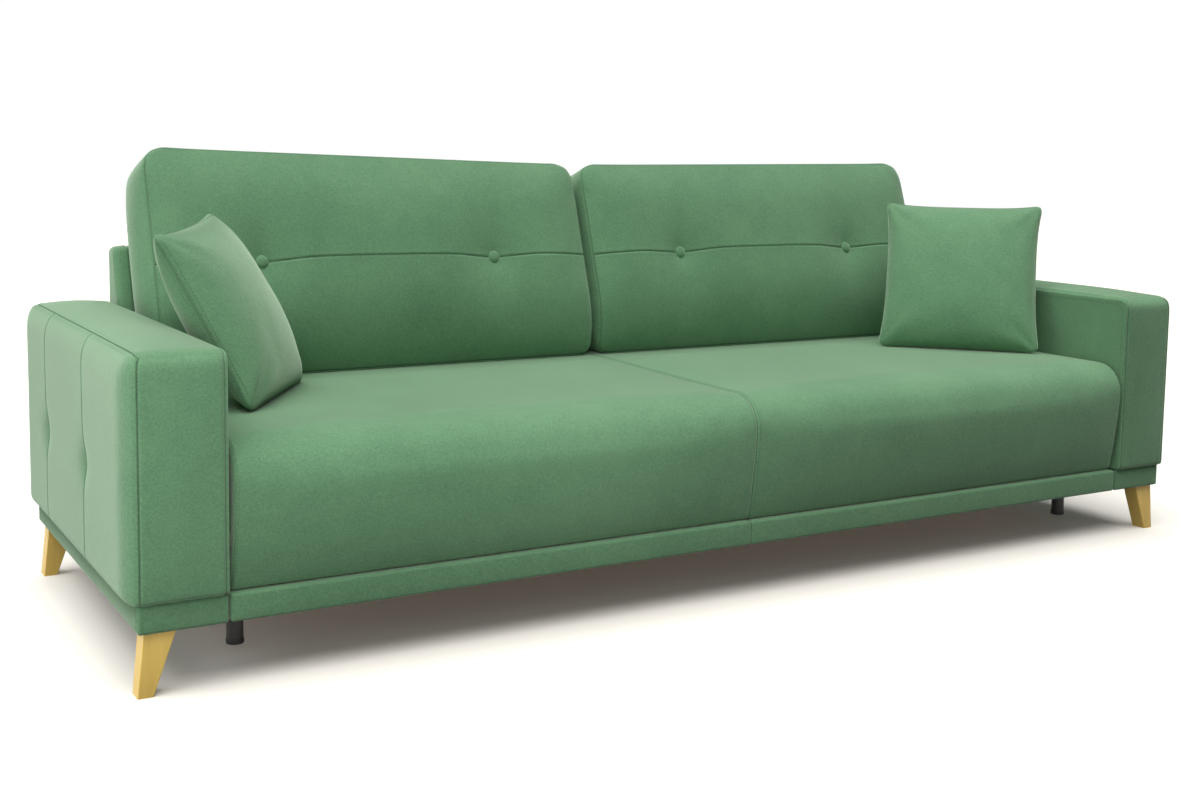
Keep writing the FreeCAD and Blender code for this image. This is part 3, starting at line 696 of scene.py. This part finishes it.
roll_centre = (seat_low.y + seat_roll, seat_high.z - seat_roll)
front_fall = seat_low.z + 0.012 - roll_centre[1]
front_drop = [(seat_low.y + seat_tuck * f ** seat_tuck_power, roll_centre[1] + front_fall * f)
              for f in np.linspace(0.12, 1, 9)]
board_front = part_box("seat_front_board")[0].y
slope = math.tan(lean) * (seat_high.z - seat_deck)
seat_outline = ([(seat_high.y, seat_high.z - 0.006), (seat_high.y - 0.006, seat_high.z)]
                + arc(roll_centre, seat_roll, 90, 180, 14) + front_drop
                + [(front_drop[-1][0] + 0.004, seat_low.z + 0.003), (front_drop[-1][0] + 0.012, seat_low.z),
                   (board_front - 0.001, seat_low.z), (board_front - 0.001, seat_deck + 0.001),
                   (seat_high.y - slope, seat_deck + 0.001)])
seat_outline = spaced(seat_outline, seat_profile_step)
outline_array = np.array(seat_outline)
inner_corner = int(np.argmin(np.hypot(outline_array[:, 0] - board_front, outline_array[:, 1] - seat_deck)))
front_mid = int(np.argmin(np.hypot(outline_array[:, 0] - seat_low.y, outline_array[:, 1] - seat_deck)))
drop_cap = list(range(front_mid, inner_corner + 1))
pad_cap = list(range(inner_corner, len(seat_outline))) + list(range(front_mid + 1))
seat_half = seat_high.x - 0.0005
seat_xs = lines(-seat_half, seat_half, seat_length_step,
                [s * (seat_half - r) for s in (-1, 1) for r in (0, 0.0008, 0.003, seat_end_round, 0.014)]
                + around([0.0], *seam_lines))
seat = long_pad("seat_pad", seat_outline, seat_xs, seat_end_round, (pad_cap, drop_cap), velour_cover)
co = points_of(seat)
away = normals_of(seat)
skin = (co[:, 2] > seat_high.z - 0.008) | (co[:, 1] < roll_centre[0] + 0.01)
skin &= co[:, 2] > seat_low.z + 0.01
along = np.abs(points_of(seat, "pattern")[:, 0]) / seat_half
swell = (1 - (2 * along - 1) ** 6) * np.where(skin, 1.0, 0)
rear_fade = np.clip((seat_fixed_rear - co[:, 1]) / 0.30, 0, 1)
low_fade = np.clip((co[:, 2] - seat_low.z) / 0.10, 0, 1)
set_points(seat, co + away * ((swell - 1) * np.where(skin, seat_sag, 0) * rear_fade * low_fade)[:, None])
loose = skin & (along > 0.02) & (along < 0.985) & (co[:, 1] < seat_fixed_rear)
inflate(seat, ~loose, 2.5, seat_blow)
subdivide(seat)
seat_flat = points_of(seat, "pattern")[:, 0]
co = points_of(seat)
open_skin = (co[:, 2] > seat_high.z - 0.03) | (co[:, 1] < board_front - 0.004)
end_seam = seat_half - 0.0035
gap = np.where(open_skin, np.minimum(np.abs(seat_flat), np.abs(np.abs(seat_flat) - end_seam)), 1.0)
sink_seams(seat, gap, seat_seam_depth)
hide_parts("seat_cushion")
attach(seat, "seat")
sewn = [p for p in seat_outline[1:front_mid + 14] if p[1] > seat_low.z + 0.012]
stitches("seat_pad_stitches", "seat", seat,
         [[(x, y, z) for y, z in sewn]
          for x in (-stitch_offset, stitch_offset, -end_seam + stitch_offset, end_seam - stitch_offset)])

# ---- Backrest --------------------------------------------------------------------------
# A padded wedge behind the loose cushions, hung on steel brackets. The front leans and the rear
# is upright. A seam runs round it near each end, and two more run down the rear.
back_low, back_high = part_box("backrest_upholstery")
back_hem, back_foot_rear = 0.300, 0.300
back_end_seam, back_round = 0.035, 0.016
back_length_step, back_profile_step = 0.024, 0.016
face_top_y = back_high.y - 0.054


def filleted(corners, radii, count=6):
    """A closed outline whose corners are rounded off by arcs."""
    out = []
    for i, (corner, radius) in enumerate(zip(corners, radii)):
        c = np.array(corner)
        a, b = np.array(corners[i - 1]) - c, np.array(corners[(i + 1) % len(corners)]) - c
        a, b = a / np.linalg.norm(a), b / np.linalg.norm(b)
        bend = math.acos(float(np.clip(a @ b, -1, 1)))
        run = radius / math.tan(bend / 2)
        start, end = c + a * run, c + b * run
        for t in np.linspace(0, 1, count):
            out.append(tuple((1 - t) ** 2 * start + 2 * t * (1 - t) * c + t * t * end))
    return out


back_outline = filleted([(back_low.y, back_low.z), (back_foot_rear, back_low.z), (back_high.y, back_hem),
                         (back_high.y, back_high.z), (face_top_y, back_high.z)],
                        [0.008, 0.008, 0.02, 0.018, 0.02])
back_outline = spaced(back_outline, back_profile_step)
back_half = back_high.x - 0.0005
back_xs = lines(-back_half, back_half, back_length_step,
                [s * (back_half - r) for s in (-1, 1) for r in (0, 0.001, 0.004, 0.009, back_round)]
                + around([-back_half + back_end_seam, back_half - back_end_seam], *seam_lines)
                + around(rear_seams, *seam_lines))
backrest = long_pad("backrest_cover", back_outline, back_xs, back_round, (list(range(len(back_outline))),),
                    velour_cover)
subdivide(backrest)
back_flat = points_of(backrest, "pattern")[:, 0]
co = points_of(backrest)
gap = np.abs(np.abs(back_flat) - (back_half - back_end_seam))
rear_gap = np.abs(np.abs(back_flat) - rear_seams[1])
gap = np.where(co[:, 1] > back_high.y - 0.02, np.minimum(gap, rear_gap), gap)
sink_seams(backrest, gap)
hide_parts("backrest_upholstery")
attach(backrest, "backrest")
top_run = [p for p in back_outline if p[1] > back_low.z + 0.06]
from_hem = [math.hypot(y - back_high.y, z - back_hem) for y, z in top_run]
first = from_hem.index(min(from_hem))
top_run = top_run[first:] + top_run[:first]
stitches("backrest_stitches", "backrest", backrest,
         [[(s * (back_half - back_end_seam + stitch_offset), y, z) for y, z in top_run] for s in (-1, 1)])

# ---- Loose back cushions ---------------------------------------------------------------
# Two boxed cushions that lean on the backrest. Front and rear panels are sewn to a gusset, a
# seam crosses the front, and two covered buttons pull it in.
cushion_thickness, cushion_crown, cushion_rear_height = 0.165, 0.007, 0.4399
cushion_step, cushion_seat_gap, cushion_rest_gap = 0.018, 0.0006, 0.002
cushion_corner_top, cushion_corner_low = 0.050, 0.030
cushion_edge_face, cushion_edge_side = 0.014, 0.013
cushion_falls = {"side": (0.085, 0.013), "top": (0.110, 0.016), "foot": (0.220, 0.060)}
cushion_seam_up, cushion_seam_arch = 0.255, 0.009
button_pull, button_turns = 0.017, 28
cushion_blow, outer_bow, inner_bow = 0.008, 0.021, 0.004


def covered_button(name, body, centre, axis, stood_for):
    """A dome covered in the same velour, pulled tight on its cord."""
    outline = [(0.0005, 0.0090), (0.005, 0.0088), (0.0095, 0.0078), (0.0128, 0.0060), (0.0148, 0.0034),
               (0.0152, 0.0010), (0.0138, -0.0026), (0.0100, -0.0036), (0.0005, -0.0038)]
    turns = button_turns
    points = [(r * math.cos(2 * math.pi * k / turns), r * math.sin(2 * math.pi * k / turns), h)
              for r, h in outline for k in range(turns)]
    faces = [(i * turns + k, i * turns + (k + 1) % turns,
              (i + 1) * turns + (k + 1) % turns, (i + 1) * turns + k)
             for i in range(len(outline) - 1) for k in range(turns)]
    faces += [tuple(range(turns)), tuple(range((len(outline) - 1) * turns, len(outline) * turns))[::-1]]
    facing = axis.to_track_quat("Z", "Y").to_matrix()
    button = make_piece(name, [facing @ Vector(p) + centre for p in points], faces, velour_cover)
    if stood_for:
        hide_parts(stood_for)
    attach(button, body)


def back_cushion(side, outward, outer_rise, inner_rise, buttons):
    """One cushion, made flat: u runs along the sofa, v up, w forward. The rises are its top corners'."""
    body = "back_cushion_" + side
    hinge = next(j for j in frame["joints"] if j["name"] == body + "_lay")["pos_m"]
    low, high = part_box(side + "_back_cushion")
    front_face = cushion_rear_height + cushion_thickness * math.tan(lean)
    half = np.array([(high.x - low.x) / 2 - 0.001, front_face / 2, cushion_thickness / 2])
    middle_x = (low.x + high.x) / 2
    seam_v = cushion_seam_up - half[1]
    rims = [cushion_edge_face * r for r in (0, 0.2, 0.45, 0.75, 1)]
    rims += [0.003, 0.007]
    flat, faces = box_lattice(
        lines(-half[0], half[0], cushion_step, [s * (half[0] - r) for s in (-1, 1) for r in rims]
              + around(buttons, 0.006, 0.014)),
        lines(-half[1], half[1], cushion_step, [s * (half[1] - r) for s in (-1, 1) for r in rims]
              + around([seam_v], 0.003, 0.007, 0.014)),
        lines(-half[2], half[2], 0.016, [s * (half[2] - cushion_edge_side * r)
                                         for s in (-1, 1) for r in (0, 0.3, 0.65, 1)]))
    u, v, w = flat.T
    corner = np.where(v > 0, cushion_corner_top, cushion_corner_low)
    shaped = round_corners(round_edges(flat, half, cushion_edge_face, cushion_edge_side),
                           half[0], half[1], corner)
    near_front = np.clip((w + half[2]) / (2 * half[2]), 0, 1) ** 2
    drop = fall_off((half[0] - np.abs(u), *cushion_falls["side"]), (half[1] - v, *cushion_falls["top"]),
                    (half[1] + v, *cushion_falls["foot"]), power=2.2)
    dome = np.clip((1 - (u / half[0]) ** 2) * (1 - (v / half[1]) ** 2), 0, 1)
    near_button = np.min([np.hypot(u - b, v - seam_v) for b in buttons], axis=0)
    pull = np.sum([np.exp(-np.hypot((u - b) / 0.024, (v - seam_v) / 0.050)) for b in buttons], axis=0)
    front = w > half[2] - 1e-6
    shaped[:, 2] += (cushion_crown * dome - drop) * near_front
    shaped[:, 2] -= np.where(front, button_pull * pull, 0)
    end_bow = (np.where(u * outward > 0, outer_bow, inner_bow)
               * (1 - (v / half[1]) ** 4) * (1 - (w / half[2]) ** 2))
    shaped[:, 0] += np.where(half[0] - np.abs(u) < 1e-6, np.sign(u) * end_bow, 0)
    arch = 1 - np.sum([np.exp(-((u - b) / 0.075) ** 2) for b in buttons], axis=0) - (u / half[0]) ** 4
    shaped[:, 1] += cushion_seam_arch * arch * np.exp(-((v - seam_v) / 0.07) ** 2)
    piece = make_piece(side + "_back_cushion_cover", shaped, faces, velour_cover, flat)
    rim = front & ((np.abs(u) > half[0] - 0.005) | (np.abs(v) > half[1] - 0.005))
    inflate(piece, (w < 0.001 - half[2]) | (v < 0.001 - half[1]) | rim | (front & (near_button < 0.008)),
            5.0, cushion_blow)
    subdivide(piece)
    flat = points_of(piece, "pattern")
    front = flat[:, 2] > half[2] - 0.0005
    cross = np.where(front, np.abs(flat[:, 1] - seam_v), 1.0)
    inward = np.minimum(half[0] - np.abs(flat[:, 0]), half[1] - np.abs(flat[:, 1]))
    rim_gap = np.where(np.abs(flat[:, 2]) > half[2] - 0.0005, np.abs(inward), half[2] - np.abs(flat[:, 2]))
    sink_seams(piece, np.minimum(cross, rim_gap), 0.7 * seam_depth, 0.65 * seam_reach)
    local = points_of(piece)

    def place(p):
        """From the flat cushion to its place: foot cut level, leaning back on the backrest."""
        p = np.asarray(p, float)
        n = p[:, 2] + cushion_thickness / 2 + cushion_rest_gap
        foot_w = -n * math.tan(lean)
        share = (p[:, 1] + half[1]) / (2 * half[1])
        outer_share = (1 + outward * p[:, 0] / half[0]) / 2
        rise = inner_rise + (outer_rise - inner_rise) * outer_share
        w = (foot_w + share * (cushion_rear_height - cushion_rest_gap - foot_w)
             + rise * share ** 3 + cushion_seat_gap)
        return np.stack([middle_x + p[:, 0], hinge[1] - n * math.cos(lean) + w * math.sin(lean),
                         hinge[2] + n * math.sin(lean) + w * math.cos(lean)], 1)

    tree = BVHTree.FromPolygons([Vector(p) for p in local],
                                [tuple(f.vertices) for f in piece.data.polygons])
    set_points(piece, place(local))
    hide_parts(side + "_back_cushion")
    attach(piece, body)
    face_normal = Vector((0, -math.cos(lean), math.sin(lean)))
    for k, b in enumerate(buttons):
        spot = tree.ray_cast(Vector((b, seam_v, 0.3)), Vector((0, 0, -1)))[0]
        centre = Vector(place([spot])[0])
        covered_button("%s_cushion_button_%d" % (side, k + 1), body, centre + face_normal * 0.0015,
                       face_normal, side + "_cushion_buttons" if k == 0 else None)

    def on_front(u, v):
        spot = tree.ray_cast(Vector((u, v, 0.3)), Vector((0, 0, -1)))[0]
        return spot if spot else Vector((u, v, half[2]))

    us = np.linspace(-half[0] + 0.01, half[0] - 0.01, 90)
    runs = [place([on_front(u, seam_v + stitch_offset) for u in us])]
    eu, ev = half[0] - stitch_offset, half[1] - stitch_offset
    turns = [(-eu, -ev), (-eu, ev), (eu, ev), (eu, -ev)]
    loop = []
    for (u0, v0), (u1, v1) in zip(turns, turns[1:] + turns[:1]):
        loop += [(u0 + (u1 - u0) * t, v0 + (v1 - v0) * t) for t in np.linspace(0, 1, 60)[:-1]]
    flat_loop = np.array([(u, v, half[2]) for u, v in loop])
    bent = round_corners(flat_loop, half[0], half[1],
                         np.where(flat_loop[:, 1] > 0, cushion_corner_top, cushion_corner_low))
    runs.append(place([on_front(u, v) for u, v, _ in bent]))
    stitches(side + "_back_cushion_stitches", body, piece, runs)


back_cushion("left", -1, 0.026, -0.006, (-0.286, 0.265))
back_cushion("right", 1, 0.005, -0.006, (-0.265, 0.265))

# ---- Scatter cushions ------------------------------------------------------------------
# Two square feather-filled cushions with a knife edge: two panels sewn face to face, so the
# sides pull in and the corners stand out as blunt ears. Each repeats the CAD's size, corner,
# turn and lean.
scatter_pinch, scatter_corner, scatter_foot_pinch = 0.072, 0.030, 0.15
scatter_stitch_inset, scatter_stitch_lift, scatter_ease, scatter_blow = 0.008, 0.008, 0.009, 0.005
scatter_cells, scatter_ripple, scatter_crease = 44, 0.0022, 0.7
scatter_welt, scatter_welt_reach, scatter_foot_lift = 0.0012, 0.004, 0.012


def scatter_cushion(side, size, half_thickness, corner, yaw, back_tilt, droop, seed):
    """One cushion that stands with its lower left corner at the given place, turned and leant back."""
    body = "scatter_cushion_" + side
    cover = size + scatter_ease
    count = scatter_cells
    grid = np.linspace(-1, 1, count + 1)
    grid = np.sign(grid) * (1 - (1 - np.abs(grid)) ** 1.25)
    points, index, flat = [], {}, []

    def outline(a, b):
        """Where a point of the flat cut lies once the sides are pulled in and the corners blunted."""
        foot = 1 if b > 0 else scatter_foot_pinch
        u = a * (1 - scatter_pinch * (1 - abs(b) ** 3) * abs(a) ** 1.5) * cover / 2
        v = b * (1 - scatter_pinch * foot * (1 - abs(a) ** 3) * abs(b) ** 1.5) * cover / 2
        return round_corners(np.array([[u, v, 0.0]]), cover / 2, cover / 2, scatter_corner)[0, :2]

    def at(i, j, k):
        rim = i in (0, count) or j in (0, count)
        key = (i, j, 0 if rim else k)
        if key not in index:
            index[key] = len(points)
            a, b = grid[i], grid[j]
            puff = half_thickness * ((1 - abs(a) ** 2.2) * (1 - abs(b) ** 2.2)) ** 0.5
            u, v = outline(a, b)
            points.append((u, key[2] * puff, v))
            flat.append((a, b, key[2]))
        return index[key]

    faces = []
    for i in range(count):
        for j in range(count):
            for k in (-1, 1):
                ring = [at(i, j, k), at(i + 1, j, k), at(i + 1, j + 1, k), at(i, j + 1, k)]
                faces.append(ring if k < 0 else ring[::-1])
    piece = make_piece(side + "_scatter_cushion_cover", points, faces, velour_cover, flat)
    flat = np.array(flat)
    generator = np.random.default_rng(seed)
    co = points_of(piece)
    ripple = np.zeros(len(co))
    for sa in (-1, 1):
        for sb in (-1, 1):
            away = np.hypot(flat[:, 0] - sa, flat[:, 1] - sb)
            bearing = np.arctan2(flat[:, 1] - sb, flat[:, 0] - sa)
            ripple += (np.sin(bearing * generator.uniform(7, 10) + generator.uniform(0, 6))
                       * np.exp(-((away - 0.40) / 0.24) ** 2))
    for _ in range(5):
        a, b = generator.uniform(-0.6, 0.6, 2)
        turn = generator.uniform(0, math.pi)
        along = (flat[:, 0] - a) * math.cos(turn) + (flat[:, 1] - b) * math.sin(turn)
        across = (flat[:, 1] - b) * math.cos(turn) - (flat[:, 0] - a) * math.sin(turn)
        ripple -= scatter_crease * np.exp(-(along / 0.45) ** 2 - (across / 0.14) ** 2)
    co[:, 1] += flat[:, 2] * ripple * scatter_ripple
    set_points(piece, co)
    edge = np.maximum(np.abs(flat[:, 0]), np.abs(flat[:, 1])) > 0.999
    inflate(piece, edge, 4.0, scatter_blow)
    subdivide(piece)
    pattern = points_of(piece, "pattern")
    rim = (1 - np.maximum(np.abs(pattern[:, 0]), np.abs(pattern[:, 1]))) * cover / 2
    sink_seams(piece, np.abs(rim - 0.0005), -scatter_welt, scatter_welt_reach)
    seat_top = seat_high.z + 0.0004
    tilt = math.radians(back_tilt)
    swing = math.radians(yaw)

    def place(p):
        """From upright at the origin to its place on the seat. Droop tips the upper edge."""
        p = np.asarray(p, float) + (size / 2, 0, cover / 2)
        upper = (p[:, 2] / cover) ** 2
        p[:, 2] += droop * (2 * p[:, 0] / size - 1) * upper
        y = p[:, 1] * math.cos(tilt) + p[:, 2] * math.sin(tilt)
        z = p[:, 2] * math.cos(tilt) - p[:, 1] * math.sin(tilt)
        x = p[:, 0] * math.cos(swing) - y * math.sin(swing)
        y = p[:, 0] * math.sin(swing) + y * math.cos(swing)
        return np.stack([x + corner[0], y + corner[1], z + seat_top + scatter_foot_lift * math.sin(tilt)], 1)

    co = place(points_of(piece))
    co[:, 2] = np.maximum(co[:, 2], seat_top + 0.0006)
    set_points(piece, co)
    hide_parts(side + "_scatter_cushion")
    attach(piece, body)
    reach = 1 - 2 * scatter_stitch_inset / cover
    ts = np.linspace(-0.9, 0.9, 60)
    runs = []
    for k in (-1, 1):
        for end in (-reach, reach):
            for cut in ([(t, end) for t in ts], [(end, t) for t in ts]):
                spots = [outline(a, b) for a, b in cut]
                runs.append(place([(u, k * scatter_stitch_lift, v) for u, v in spots]))
    stitches(side + "_scatter_cushion_stitches", body, piece, runs)


scatter_cushion("left", 0.375, 0.072, (-0.983, -0.237), 56.4, 29.0, 0.015, 7)
scatter_cushion("right", 0.390, 0.066, (0.722, 0.008), -44.9, 24.9, 0.0, 11)
